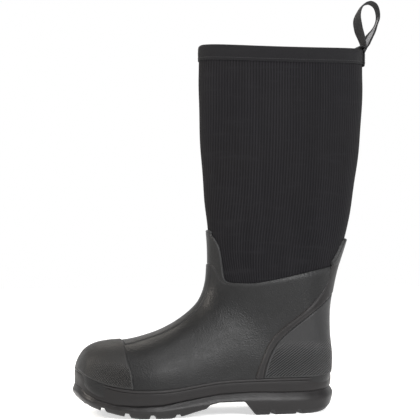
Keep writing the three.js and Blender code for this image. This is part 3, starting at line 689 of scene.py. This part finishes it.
def bumper_height(d, p):
    """A rounded shell with the knurl on its field."""
    around = np.arctan2(p[..., 1] - KNURL_Y, KNURL_X - p[..., 0]) * KNURL_RADIUS
    up = KNURL_SLANT * p[..., 2]
    diamonds = ripple(around + up, KNURL_PITCH) * ripple(around - up, KNURL_PITCH)
    return pad(2.1, 2.2)(d, p) + 0.22 * knurl_field(d, p) * (diamonds - DIAMONDS_MEAN)


patch("toe_bumper", np.concatenate([np.arange(0.3, 0.91, 0.1), np.arange(1, 6.3, 0.033)]),
      np.arange(-0.36, 0.3601, 1 / 520), both(on_rand, toe_side), bumper_height, UNDER, "toe_rubber", edge=1.2,
      mask=knurl_field, slot="upper_rubber")

in_band = within(BAND_UPPER, BAND_LOWER[::-1])
below_band = within(BAND_LOWER[:-3], [(64, 25), (200, 25), (200, 160)])


def in_quarter(p, gap=0.6):
    return below_band(p) - gap


def rib_field(d, p):
    """The ribbed lower part of the heel quarter, inside a plain border."""
    low = height_of(RAND_TOP, p[..., 0])
    return smooth(d, 2.2, 3.6) * (1 - smooth(p[..., 2], low + 18, low + 46))


def quarter_height(d, p):
    ribs = ripple(p[..., 2] - HEEL_SLOPE * (p[..., 0] + SHIFT[0]), HEEL_PITCH)
    return pad(0.8, 1.0)(d, p) + 0.3 * rib_field(d, p) * (ribs - WAVES_MEAN)


def band_height(d, p):
    """A rounded band that gets flatter towards the top."""
    return pad(1.8 - 1.1 * smooth(p[..., 2], 120, 165), 1.6)(d, p)


patch("heel_overlay", np.arange(9.8, 17.2, 0.022), np.arange(0.1, 0.9001, 1 / 560), both(on_rand, in_quarter),
      quarter_height, UNDER, "heel_rubber", edge=1.0, mask=rib_field, slot="upper_rubber")
patch("heel_band", np.arange(9.3, 17.9, 0.04), np.arange(0.1, 0.9001, 1 / 420), both(on_rand, in_band),
      band_height, UNDER, "trim_rubber", edge=1.2)

STRIP = np.array([23, 21, 18.5, 17, 15.5, 14, 12.5, 11, 10, 9, 9.0])


def strip_reach(p):
    """Inside the ribbon over the instep, whose half-width at stations 5 to 15 is STRIP."""
    width = np.interp(p[..., 0], STATIONS[5:16, 0], STRIP)
    ridge = np.interp(p[..., 0], STATIONS[5:16, 0], STATIONS[5:16, 6])
    shin = np.where(p[..., 2] > 120, np.interp(p[..., 2], STATIONS[10:16, 1], STRIP[5:11]), width)
    side = np.minimum(width, shin) - np.abs(p[..., 1] - ridge)
    front_half = np.where(p[..., 0] < 30, side, -20.0)
    return np.minimum(front_half, -toe_side(p) - 0.4)


patch("instep_strip", np.arange(4.9, 15.6, 0.05), np.arange(-0.2, 0.2001, 1 / 460),
      both(strip_reach, lambda p: under_seam(p) - 0.5), pad(1.0, 2.4), UNDER, "upper_rubber", edge=2.0)


# ---- Textile, neoprene and lining: continuous walls that run on above the rubber's edge ----

FLOOR_RISE = 7.5


def bending(obj):
    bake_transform(obj)


def wrinkled(d, p):
    """The facing's face, 2.5 mm under the form, with slight waves from the soft wall behind it."""
    slow = np.sin(p[..., 2] * 0.085 + p[..., 0] * 0.021) * np.sin(p[..., 0] * 0.055 + p[..., 1] * 0.04 + 1.3)
    wave = np.sin(p[..., 2] * 0.031 + p[..., 1] * 0.06 + 0.4) * np.sin(p[..., 0] * 0.027 - 0.6)
    fade = smooth(p[..., 2], 185, 250) * (1 - smooth(p[..., 2], 385, 410))
    return -2.5 + fade * (0.35 * slow + 0.45 * wave)


hidden_edge = below_line(UPPER_TOP, -14)
bending(patch("leg_textile", np.concatenate([np.arange(12.5, 18, 0.11), np.arange(18, 22.01, 0.05)]),
              np.arange(0, 1, 1 / 300), lambda p: -hidden_edge(p), wrinkled, 3.3, "facing_textile", wrap=True,
              edge=1.5, body=None, stands_for=("ankle_facing", "leg_facing")))


def wall(name, outer, toe_gap, inner, finish, stands_for):
    """A layer between two depths, from the toe to the collar. toe_gap keeps it off the toe cap."""
    rows = np.concatenate([[0.05, 0.3, 0.6], np.arange(1, 22.01, 0.25)])
    n, u = np.meshgrid(rows, np.arange(0, 1, 1 / 120), indexing="ij")
    outer = outer + toe_gap * np.clip((9 - n) / 1.2, 0, 1)
    outer_face = skin(n, u, outer, outer + FLOOR_RISE)
    points, grid, outside = tube(outer_face)
    inside = outside[:, ::-1] + n.size
    faces = [outside, inside]
    for row, turn in ((0, 1), (-1, -1)):
        ring, after = grid[row], np.roll(grid[row], -1)
        faces.append(np.stack([ring, ring + n.size, after + n.size, after], -1)[:, ::turn])
    points = np.vstack([points, skin(n, u, inner, inner + FLOOR_RISE).reshape(-1, 3)])
    pattern = pattern_place(n, u, outer_face[..., 2]).reshape(-1, 2)
    bending(piece(name, points, faces, finish, uv=np.vstack([pattern, pattern]), stands_for=stands_for))


wall("neoprene_wall", 3.6, 1.1, 7.6, "neoprene", ("bootie_neoprene", "ankle_neoprene", "leg_neoprene"))
wall("jersey_lining", 7.9, 0.0, 8.9, "lining", ("bootie_lining", "leg_lining"))


# ---- Collar binding and its stitches ----

TOP_RISE = 40.0
STITCHES, STITCH_LINE, THREAD = 150, 12.6, 0.3


def collar_point(angle, down, depth, lift=0.0):
    """A point of the collar: down mm below the top edge of the leg, at a depth, lifted by lift."""
    p = section(LAST - down / TOP_RISE, angle, depth)
    p[..., 2] += lift
    return p


def round_profile(points, radius, steps=5):
    """A closed outline of (down, depth) corners, each rounded with the radius given beside it."""
    made = []
    for k, (corner, r) in enumerate(zip(points, radius)):
        corner = np.array(corner, float)
        before = np.array(points[k - 1], float) - corner
        after = np.array(points[(k + 1) % len(points)], float) - corner
        a = corner + before / np.linalg.norm(before) * r
        b = corner + after / np.linalg.norm(after) * r
        for t in np.linspace(0, 1, steps):
            made.append((1 - t) ** 2 * a + 2 * t * (1 - t) * corner + t * t * b)
    return np.array(made)


def collar_binding(count=720, length=480):
    """Tape folded over the top edge, with a soft fold and slight puckers at the stitches."""
    corners = [(16, 1.5), (8, 1.45), (-2.9, 1.6), (-2.9, 9.9), (8, 10.0), (16, 9.9), (16, 9.2), (6, 9.2),
               (-0.6, 9.1), (-0.6, 2.3), (6, 2.2), (16, 2.2)]
    radii = [0.3, 2.0, 4.1, 4.1, 2.0, 0.3, 0.3, 1.0, 0.6, 0.6, 1.0, 0.3]
    profile = round_profile(corners, radii)
    share = np.arange(count) / count
    angle = angle_at(np.full(count, LAST - 0.01), share)
    pucker = 0.5 - 0.5 * np.cos(2 * np.pi * share * STITCHES)
    wave = 1 + 0.35 * np.sin(share * 2 * np.pi * 23)
    rings = []
    for down, depth in profile:
        outer = depth < 5
        sewn = np.exp(-((down - STITCH_LINE) / 1.6) ** 2) * outer
        slack = np.exp(-((down - 4.5) / 4.5) ** 2) * outer * 0.35
        d = depth + sewn * (0.32 - 0.22 * pucker) - slack * wave
        rings.append(collar_point(angle, max(down, 0.0), d, max(-down, 0.0)))
    points, _, faces = tube(rings, wrap_rows=True)
    way = np.concatenate([[0], np.cumsum(np.linalg.norm(np.diff(profile, axis=0), axis=1))])
    uv = np.stack(np.meshgrid(share * length, way), -1).reshape(-1, 2)
    piece("collar_binding", points, [faces], "binding", body="leg", uv=uv)


def stitches(name, starts, ends, outward, sides=6):
    """Sewn threads: each a short tube that rises out of the cloth and dips back into it."""
    shares = np.array([0.0, 0.1, 0.3, 0.5, 0.7, 0.9, 1.0])
    rise = np.array([-0.81, 0.135, 0.675, 0.765, 0.675, 0.135, -0.81]) * THREAD
    slim = np.array([0.55, 1, 1, 1, 1, 1, 0.55]) * THREAD
    starts, ends, outward = (np.asarray(a, float)[:, None] for a in (starts, ends, outward))
    across = np.cross(ends - starts, outward)
    across /= np.linalg.norm(across, axis=-1, keepdims=True)
    centres = starts + (ends - starts) * shares[:, None] + outward * rise[:, None]
    turn = (np.arange(sides) * 2 * np.pi / sides)[:, None]
    around = np.cos(turn) * across[:, None] + np.sin(turn) * outward[:, None]
    points = centres[:, :, None] + slim[:, None, None] * around
    numbers = np.arange(points.size // 3).reshape(points.shape[:3])
    tubes = np.vstack([quads(grid, wrap_columns=True) for grid in numbers])
    caps = np.vstack([numbers[:, 0, ::-1], numbers[:, -1]])
    piece(name, points.reshape(-1, 3), [tubes, caps], "thread", body="leg", slot="binding")


def collar_stitches(name, depth, outward):
    """A ring of stitches at a depth; outward is the sign of the depth on the side that they look to."""
    def at(u, depth):
        return collar_point(angle_at(np.full(STITCHES, LAST - 0.3), u), STITCH_LINE, depth)

    whole, half = np.arange(STITCHES) / STITCHES, 0.31 / STITCHES
    way = at(whole, depth + outward) - at(whole, depth)
    way /= np.linalg.norm(way, axis=1, keepdims=True)
    stitches(name, at(whole - half, depth), at(whole + half, depth), way)


collar_binding()
collar_stitches("collar_stitching_outer", 1.72, -1.0)
collar_stitches("collar_stitching_inner", 9.95, 1.0)


# ---- Pull loop ----

HINGE = np.array([joints["pull_loop_swing"][0] * 1000 - SHIFT[0], joints["pull_loop_swing"][2] * 1000])
LOOP_TALL, LOOP_WIDE, LOOP_LEAN = 56.6, 12.8, 0.115
TAPE_HALF, TAPE_THICK = 11.0, 0.78
COLLAR_CURVE = 52.0


def loop_path():
    """The webbing's middle line, from the end of the outer tail round the loop to the end of the inner one."""
    rear = [(0.8, 2.0), (1.5, 6.0), (LOOP_WIDE * 0.36, 13.5), (LOOP_WIDE * 0.76, LOOP_TALL * 0.43),
            (LOOP_WIDE, LOOP_TALL * 0.67), (LOOP_WIDE * 0.68, LOOP_TALL * 0.91), (0, LOOP_TALL)]
    front = [(-x, z) for x, z in rear[-2::-1]]
    turned = [(HINGE[0] + x + z * LOOP_LEAN, HINGE[1] + z) for x, z in rear + front]
    outer_tail = [(194.3, 410.6), (194.5, 412.5), (194.6, 419), (194.8, 426), (195.7, 430)]
    inner_tail = [(192.6, 433.6), (189.0, 434.2), (185.6, 431.6), (184.2, 425), (184.3, 416.5), (184.3, 409.2)]
    path = line([*outer_tail, *turned, *inner_tail], 1500)
    lengths = np.linalg.norm(np.diff(path, axis=0), axis=1)
    steps = np.linspace(0, lengths.sum(), 320)
    return np.stack([evenly(path[:, k], lengths, len(steps)) for k in (0, 1)], -1), steps


def tape_outline():
    """The webbing's section: places across it and through it, with half-round edges."""
    turn = np.linspace(0, np.pi, 6)
    right = np.stack([TAPE_HALF - TAPE_THICK * (1 - np.sin(turn)), TAPE_THICK * np.cos(turn)], -1)[::-1]
    y = np.linspace(TAPE_HALF - TAPE_THICK, -TAPE_HALF + TAPE_THICK, 23)[1:-1]
    face = np.stack([y, np.full(len(y), TAPE_THICK)], -1)
    return np.vstack([right, face, -right, -face])


def pull_loop():
    """The whole webbing: a free loop whose two strands twist, with a ribbed face and a stripe inside."""
    path, steps = loop_path()
    tangent = np.gradient(path, axis=0)
    tangent /= np.linalg.norm(tangent, axis=1, keepdims=True)
    outline = tape_outline()
    across, through = outline.T
    ends = np.minimum(steps, steps[-1] - steps)[:, None]
    narrow = np.sqrt(np.clip(1 - (1 - np.clip(ends / 3.0, 0, 1)) ** 2, 0.04, 1))
    sag = 0.25 * np.sin(steps / 9) * smooth(steps, 25, 40) * (1 - smooth(steps - steps[-1], -50, -30))
    weave = 1 + 0.05 * np.cos(across * 2 * np.pi / 1.57) * (np.abs(across) < 10.4)
    offset = through * weave + sag[:, None] * (np.abs(across) / TAPE_HALF) ** 2
    x = path[:, :1] + tangent[:, 1:] * offset
    y = across * np.where(ends > 3, 1, 0.72 + 0.28 * narrow)
    z = path[:, 1:] - tangent[:, :1] * offset
    up = z - HINGE[1]
    x = x - y ** 2 / COLLAR_CURVE * (1 - smooth(up, -7, 2)) - HINGE[0]
    on_rear = (np.arange(len(path)) < np.argmax(path[:, 1]))[:, None]
    rear = 13 * smooth(up, 0, 6) * (1 - smooth(up, 14, 30)) - 7 * smooth(up, 16, 32)
    front = 9 * smooth(up, 5, 22) * (1 - smooth(up, 28, 50)) - 7 * smooth(up, 32, 54)
    twist = np.radians(np.where(on_rear, rear, front))
    x, y = HINGE[0] + x * np.cos(twist) - y * np.sin(twist), x * np.sin(twist) + y * np.cos(twist)
    points, grid, faces = tube(np.stack([x, y, z], -1))
    uv = np.stack(np.meshgrid(steps, across, indexing="ij"), -1).reshape(-1, 2)
    high = path[:, 1:] - HINGE[1]
    shown = smooth(high, -3, -1) * (1 - smooth(high, 31, 40)) * on_rear
    striped = (np.abs(across + 2.8) < 4.9) & (through < 0)
    obj = piece("pull_loop", points, [faces, grid[:1, ::-1], grid[-1:]], "webbing", uv=uv,
                mask=(shown * striped).ravel(), stands_for=("pull_loop", "loop_tail_outer", "loop_tail_inner"))
    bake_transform(obj)


def tail_stitches(name, x, low, outward, tall=11.0, half=8.6, pitch=2.3, length=1.7):
    """A box of stitches on one tail of the loop."""
    sides = [(y, z, y, z + length) for y in (-half, half) for z in np.arange(low, low + tall, pitch)]
    ends = [(y, z, y + length, z) for z in (low - 0.3, low + tall) for y in np.arange(-8.0, 7.0, pitch)]
    runs = np.array(sides + ends)
    first, last = (np.column_stack([x - yz[:, 0] ** 2 / COLLAR_CURVE, yz]) for yz in (runs[:, :2], runs[:, 2:]))
    stitches(name, first, last, np.tile([outward, 0, 0], (len(runs), 1)))


pull_loop()
tail_stitches("loop_stitching_outer", 195.35, 413.5, 1.0)
tail_stitches("loop_stitching_inner", 183.5, 412.5, -1.0)


# ---- Sole: outsole and rand, from the sole's outline in plan ----

SOLE_OUTER = [(-147.5, -17), (-136, -35), (-113, -50), (-85, -58), (-55, -59.5), (-22, -54.5), (12, -49.5),
              (48, -46.5), (84, -45.5), (116, -42), (141, -30)]
SOLE_INNER = [(-147.5, 27), (-136, 42), (-113, 53), (-85, 56), (-55, 55), (-22, 50.5), (12, 47), (48, 44.5),
              (84, 43.5), (116, 40.5), (141, 29.5)]
SOLE = np.array([(-152, 7), *SOLE_OUTER, (153, 0), *SOLE_INNER[::-1]])
ARCH = line([(-52, -0.2), (-36, 2.6), (-22, 6.4), (-9, 9.6)], 30)
ROOF = np.vstack([ARCH, [(-4.5, 13.8), (9, 16.6), (24, 17.2), (32, 16.7), (200, 16.7)]])
BREAST = np.array([(-200, 16.4), (36, 16.2), (38.5, 15.6), (46, 6.5), (49.5, 2), (52, 0.2), (54, -1),
                   (200, -1)])
GROOVES = [(-123, 7), (-96, 7), (-67.5, 7), (-38.5, 7), (-14, 7), (65, -6), (97, -6)]
GROOVE_DEPTH = 4.5
INSET, NOSE_LIP = -3.5, 1.8
SIDE_PROFILE = np.array([(0, -4.6), (0.012, -3.9), (0.03, -3.45), (0.09, -2.2), (0.16, -1.2), (0.3, -0.4),
                         (0.45, 0.4), (0.54, 0.8), (0.62, 0.8), (0.7, 0.4), (0.8, -0.55), (0.9, -1.8),
                         (0.96, -2.65), (1, -3.4)])
RAND_PROFILE = [(0, -1.6, -4.8), (0, -0.4, -3.8), (0, 0.6, -2.9), (0, 1.7, -2.1), (0.3, 0, -1.5),
                (0.55, 0, -1.25), (1, -4.6, -1.4), (1, -3.9, -1.55), (1, -3.5, -2), (1, -3.1, -1.7),
                (1, -2.5, -1.3), (1, -1.6, -1.2), (1, -0.8, -1.5), (1, -0.25, -2.1), (1, 0, -3),
                (1, 0, -5.4), (1, -3, -5.6), (0.5, 0, -5.8), (0, 0.5, -5.8)]


def gaps(at):
    """Distances between neighbouring points of the sole's outline at point numbers."""
    return np.linalg.norm(np.diff(spline(SOLE, at, True), axis=0), axis=1)


def outline_at(t, grow):
    """Points of the sole's outline at point numbers t, moved outwards by grow."""
    tangent = spline(SOLE, t + 1e-3, True) - spline(SOLE, t - 1e-3, True)
    tangent /= np.linalg.norm(tangent, axis=-1, keepdims=True)
    outward = np.stack([-tangent[..., 1], tangent[..., 0]], -1)
    return spline(SOLE, t, True) - outward * np.broadcast_to(grow, t.shape)[..., None]


def under_side(x, y):
    """Height of the sole's underside: the tread, its grooves, and the hollow of the arch."""
    groove = np.zeros(x.shape)
    for start, skew in GROOVES:
        centre = start + 2.5 - skew * np.abs(y) / 70
        flare = 0.9 * smooth(np.abs(y), 26, 46)
        groove = np.maximum(groove, 1 - smooth(np.abs(x - centre) - flare, 1.6, 3.1))
    for middle in (-20, 18):
        for low, high in ((-143, -6), (45, 136)):
            ends = smooth(x, low, low + 1.5) * (1 - smooth(x, high - 1.5, high))
            groove = np.maximum(groove, ends * (1 - smooth(np.abs(y - middle), 1.3, 2.5)))
    arch = np.interp(x, ROOF[:, 0], ROOF[:, 1], left=-1)
    breast = height_of(BREAST, x - 0.14 * (y + 42))
    return np.maximum(height_of(TREAD, x) + GROOVE_DEPTH * groove, np.minimum(arch, breast))


def outsole(lines=470, across=150, up=22, over=16):
    """Strips across the sole, each a ring: the underside, the outer side, the top and the inner side."""
    fine = np.linspace(0, len(SOLE) / 2, 4000)
    t = evenly(fine, gaps(fine) + gaps(len(SOLE) - fine), lines)
    sides = []
    for number in (t, len(SOLE) - t):
        base = outline_at(number, INSET)
        top = height_of(SOLE_TOP, base[:, 0]) - 0.1
        nose, toe = smooth(-base[:, 0], 118, 146), smooth(-base[:, 0], 88, 132)
        tread = height_of(TREAD, base[:, 0])
        start = ((under_side(base[:, 0], base[:, 1]) - tread) / (top - tread))[:, None]
        share = start + (1 - start) * (np.linspace(0, 1, up) ** 1.15)
        at = np.interp(share, SIDE_PROFILE[:, 0], np.arange(len(SIDE_PROFILE)))
        grow = spline(SIDE_PROFILE[:, 1:], at)[..., 0]
        soft = np.where(start > 0.03, -np.exp(-((share - start) / 0.03) ** 2), 0)
        full = NOSE_LIP * nose[:, None] * smooth(share, 0.0, 0.45)
        shallow = 1.5 * toe[:, None] * smooth(share, 0.72, 1.0)
        xy = outline_at(np.repeat(number[:, None], up, 1), grow + soft + shallow + full)
        z = tread[:, None] + (top - tread)[:, None] * share
        sides.append(np.concatenate([xy, z[..., None]], -1))
    outer, inner = sides
    v = np.linspace(0, 1, across)[None, 1:-1, None]
    under = inner[:, None, 0] + (outer[:, None, 0] - inner[:, None, 0]) * v
    under[..., 2] = np.maximum(under_side(under[..., 0], under[..., 1]), 0.0)
    v = np.linspace(0, 1, over)[None, 1:-1, None]
    roof = outer[:, None, -1] + (inner[:, None, -1] - outer[:, None, -1]) * v
    points, _, faces = tube(np.concatenate([under, outer, roof, inner[:, ::-1]], axis=1))
    piece("outsole", points, [faces], "sole_rubber", body="foot", sharp=50)


def rand(count=640):
    """The band above the outsole: a shallow face, a step, and a bead along its top.

    A row of RAND_PROFILE is a share of the band's height, a lift above that, and how far it grows outwards.
    """
    fine = np.linspace(0, len(SOLE), 6000)
    t = evenly(fine, gaps(fine), count * 4 + 1)
    t = np.interp(np.arange(count) / count, np.linspace(0, 1, count * 4 + 1), t)
    x = spline(SOLE, t, True)[:, 0]
    nose, toe = smooth(-x, 118, 148), smooth(-x, 88, 132)
    low = height_of(SOLE_TOP, outline_at(t, INSET)[:, 0]) + 0.1
    high = height_of(RAND_TOP, x) + 1.2 * nose
    rings = []
    for share, lift, grow in RAND_PROFILE:
        shallow = toe * 1.6 * (share == 0) * np.clip(1.2 - lift * 0.5, 0, 1)
        xy = outline_at(t, grow + shallow + nose * (NOSE_LIP - 0.2 * share))
        rings.append(np.column_stack([xy, low + (high - low) * share + lift]))
    points, _, faces = tube(rings, wrap_rows=True)
    piece("rand", points, [faces], "trim_rubber", body="foot")


outsole()
rand()


# ---- Footbed ----


def plan_edges(points, edges, bins):
    """Lowest and highest y of a mesh at each x of bins."""
    a, b = points[edges[:, 0]], points[edges[:, 1]]
    found = []
    for x in bins:
        span = (a[:, 0] - x) * (b[:, 0] - x) <= 0
        gap = np.where(b[span, 0] == a[span, 0], 1, b[span, 0] - a[span, 0])
        y = a[span, 1] + (b[span, 1] - a[span, 1]) * np.clip((x - a[span, 0]) / gap, 0, 1)
        found.append((y.min(), y.max()))
    return np.array(found).T


def footbed(name, bottom, top, finish, quilt, lines=200, across=80):
    """A sheet with rounded edges between two heights over the foot's floor, as wide in plan as the CAD's."""
    cad = frame["nodes"][name].data
    corners = np.array([v.co for v in cad.vertices]) * 1000 - SHIFT
    x0, x1 = corners[:, 0].min() + 0.2, corners[:, 0].max() - 0.2
    x = x0 + (x1 - x0) * (0.5 - 0.5 * np.cos(np.linspace(0, np.pi, lines)))
    bins = np.linspace(x0, x1, 40)
    edges = np.array([e.vertices[:] for e in cad.edges])
    left, right = (np.interp(x, bins, side) for side in plan_edges(corners, edges, bins))
    half_round = np.sqrt(np.clip(1 - ((x - (x0 + x1) / 2) / ((x1 - x0) / 2)) ** 2, 0, 1))
    half = (right - left) / 2 * np.minimum(1, half_round / 0.32) ** 0.6
    v = np.linspace(-1, 1, across)
    y = ((left + right) / 2)[:, None] + half[:, None] * v
    bevel = (1 - np.abs(v) ** 14) * np.minimum(1, half_round / 0.14)[:, None]
    pattern = quilt * (np.sin(x[:, None] * 2 * np.pi / 5) * np.sin(y * 2 * np.pi / 5))
    base, thick = height_of(SOLE_TOP, x)[:, None] + bottom, top - bottom
    upper = base + 0.25 * thick + (0.75 * thick + pattern) * bevel
    lower = base + 0.2 * thick * (1 - bevel)
    wide = np.repeat(x[:, None], across, 1)
    rings = np.concatenate([np.stack([wide, y, upper], -1), np.stack([wide, y, lower], -1)[:, ::-1]], axis=1)
    points, grid, faces = tube(rings)
    return piece(name, points, [faces, grid[:1], grid[-1:, ::-1]], finish, body="insert")


footbed("footbed", 16.8, 21.3, "footbed_foam", 0.0)
footbed("footbed_cover", 21.6, 22.7, "footbed_cloth", 0.12)


# ---- Hidden pieces carried over from the CAD ----

for part in frame["record"]["subparts"]:
    node = frame["nodes"][part["node"]]
    node.data.materials.clear()
    node.data.materials.append(MATERIALS[part["material_slot"]])


# ---- Floor, light and camera, in metres ----

FLOOR_HALF = 4
SKY_TOP, SKY_FRONT = 0.3, 0.72

mesh = bpy.data.meshes.new("floor")
square = [(x * FLOOR_HALF, y * FLOOR_HALF, 0) for x, y in ((-1, -1), (1, -1), (1, 1), (-1, 1))]
mesh.from_pydata(square, [], [(0, 1, 2, 3)])
Shader("floor", (0.86, 0.86, 0.86), 0.9, Emission_Color=(1, 1, 1, 1), Emission_Strength=0.6)
mesh.materials.append(MATERIALS["floor"])
floor = bpy.data.objects.new("floor", mesh)
bpy.context.scene.collection.objects.link(floor)


def sky():
    """White round the horizon, darker overhead and towards the camera's side, as in a tent of paper."""
    world = bpy.data.worlds.new("studio")
    bpy.context.scene.world = world
    world.use_nodes = True
    background = world.node_tree.nodes["Background"]
    background.inputs["Strength"].default_value = 1.0
    s = Nodes(world.node_tree, "Generated")
    overhead = s.remap(s.axis("Z"), 0.3, 0.75, 1.0, SKY_TOP)
    in_front = s.remap(s.axis("Y"), -0.1, -0.8, 1.0, SKY_FRONT)
    s.put(background.inputs["Color"], s.math("MULTIPLY", overhead, in_front))


def looking(name, data, place, target):
    """A lamp or camera at a place, turned to a target."""
    obj = bpy.data.objects.new(name, data)
    bpy.context.scene.collection.objects.link(obj)
    obj.location = place
    obj.rotation_euler = (Vector(target) - Vector(place)).to_track_quat("-Z", "Y").to_euler()
    return obj


def softbox(name, place, target, size, power, color=(1, 1, 1)):
    lamp = bpy.data.lights.new(name, "AREA")
    lamp.shape = "RECTANGLE"
    lamp.size, lamp.size_y = size
    lamp.energy = power
    lamp.color = color
    looking(name, lamp, place, target)


sky()
softbox("key", (0.24, -1.32, 0.92), (0, 0, 0.1), (0.3, 0.3), 13.5)
softbox("side", (0.72, -1.32, 0.7), (0.05, 0, 0.06), (0.2, 0.2), 8)
softbox("over", (0.12, -0.6, 1.45), (0, 0, 0.03), (0.4, 0.3), 9)
softbox("back", (-0.2, 0.95, 1.25), (-0.1, 0, 0.08), (0.7, 0.5), 4, (1.0, 0.94, 0.86))
softbox("toe", (-1.35, -0.15, 1.1), (-0.1, 0, 0.05), (0.6, 0.6), 18, (1.0, 0.93, 0.84))

camera_data = bpy.data.cameras.new("camera")
camera_data.lens = 116.2
camera_data.sensor_width = 36
bpy.context.scene.camera = looking("camera", camera_data, (-0.3375, -1.5633, 0.2025), (-0.0230, 0.0017, 0.2367))
bpy.context.scene.view_settings.view_transform = "Standard"
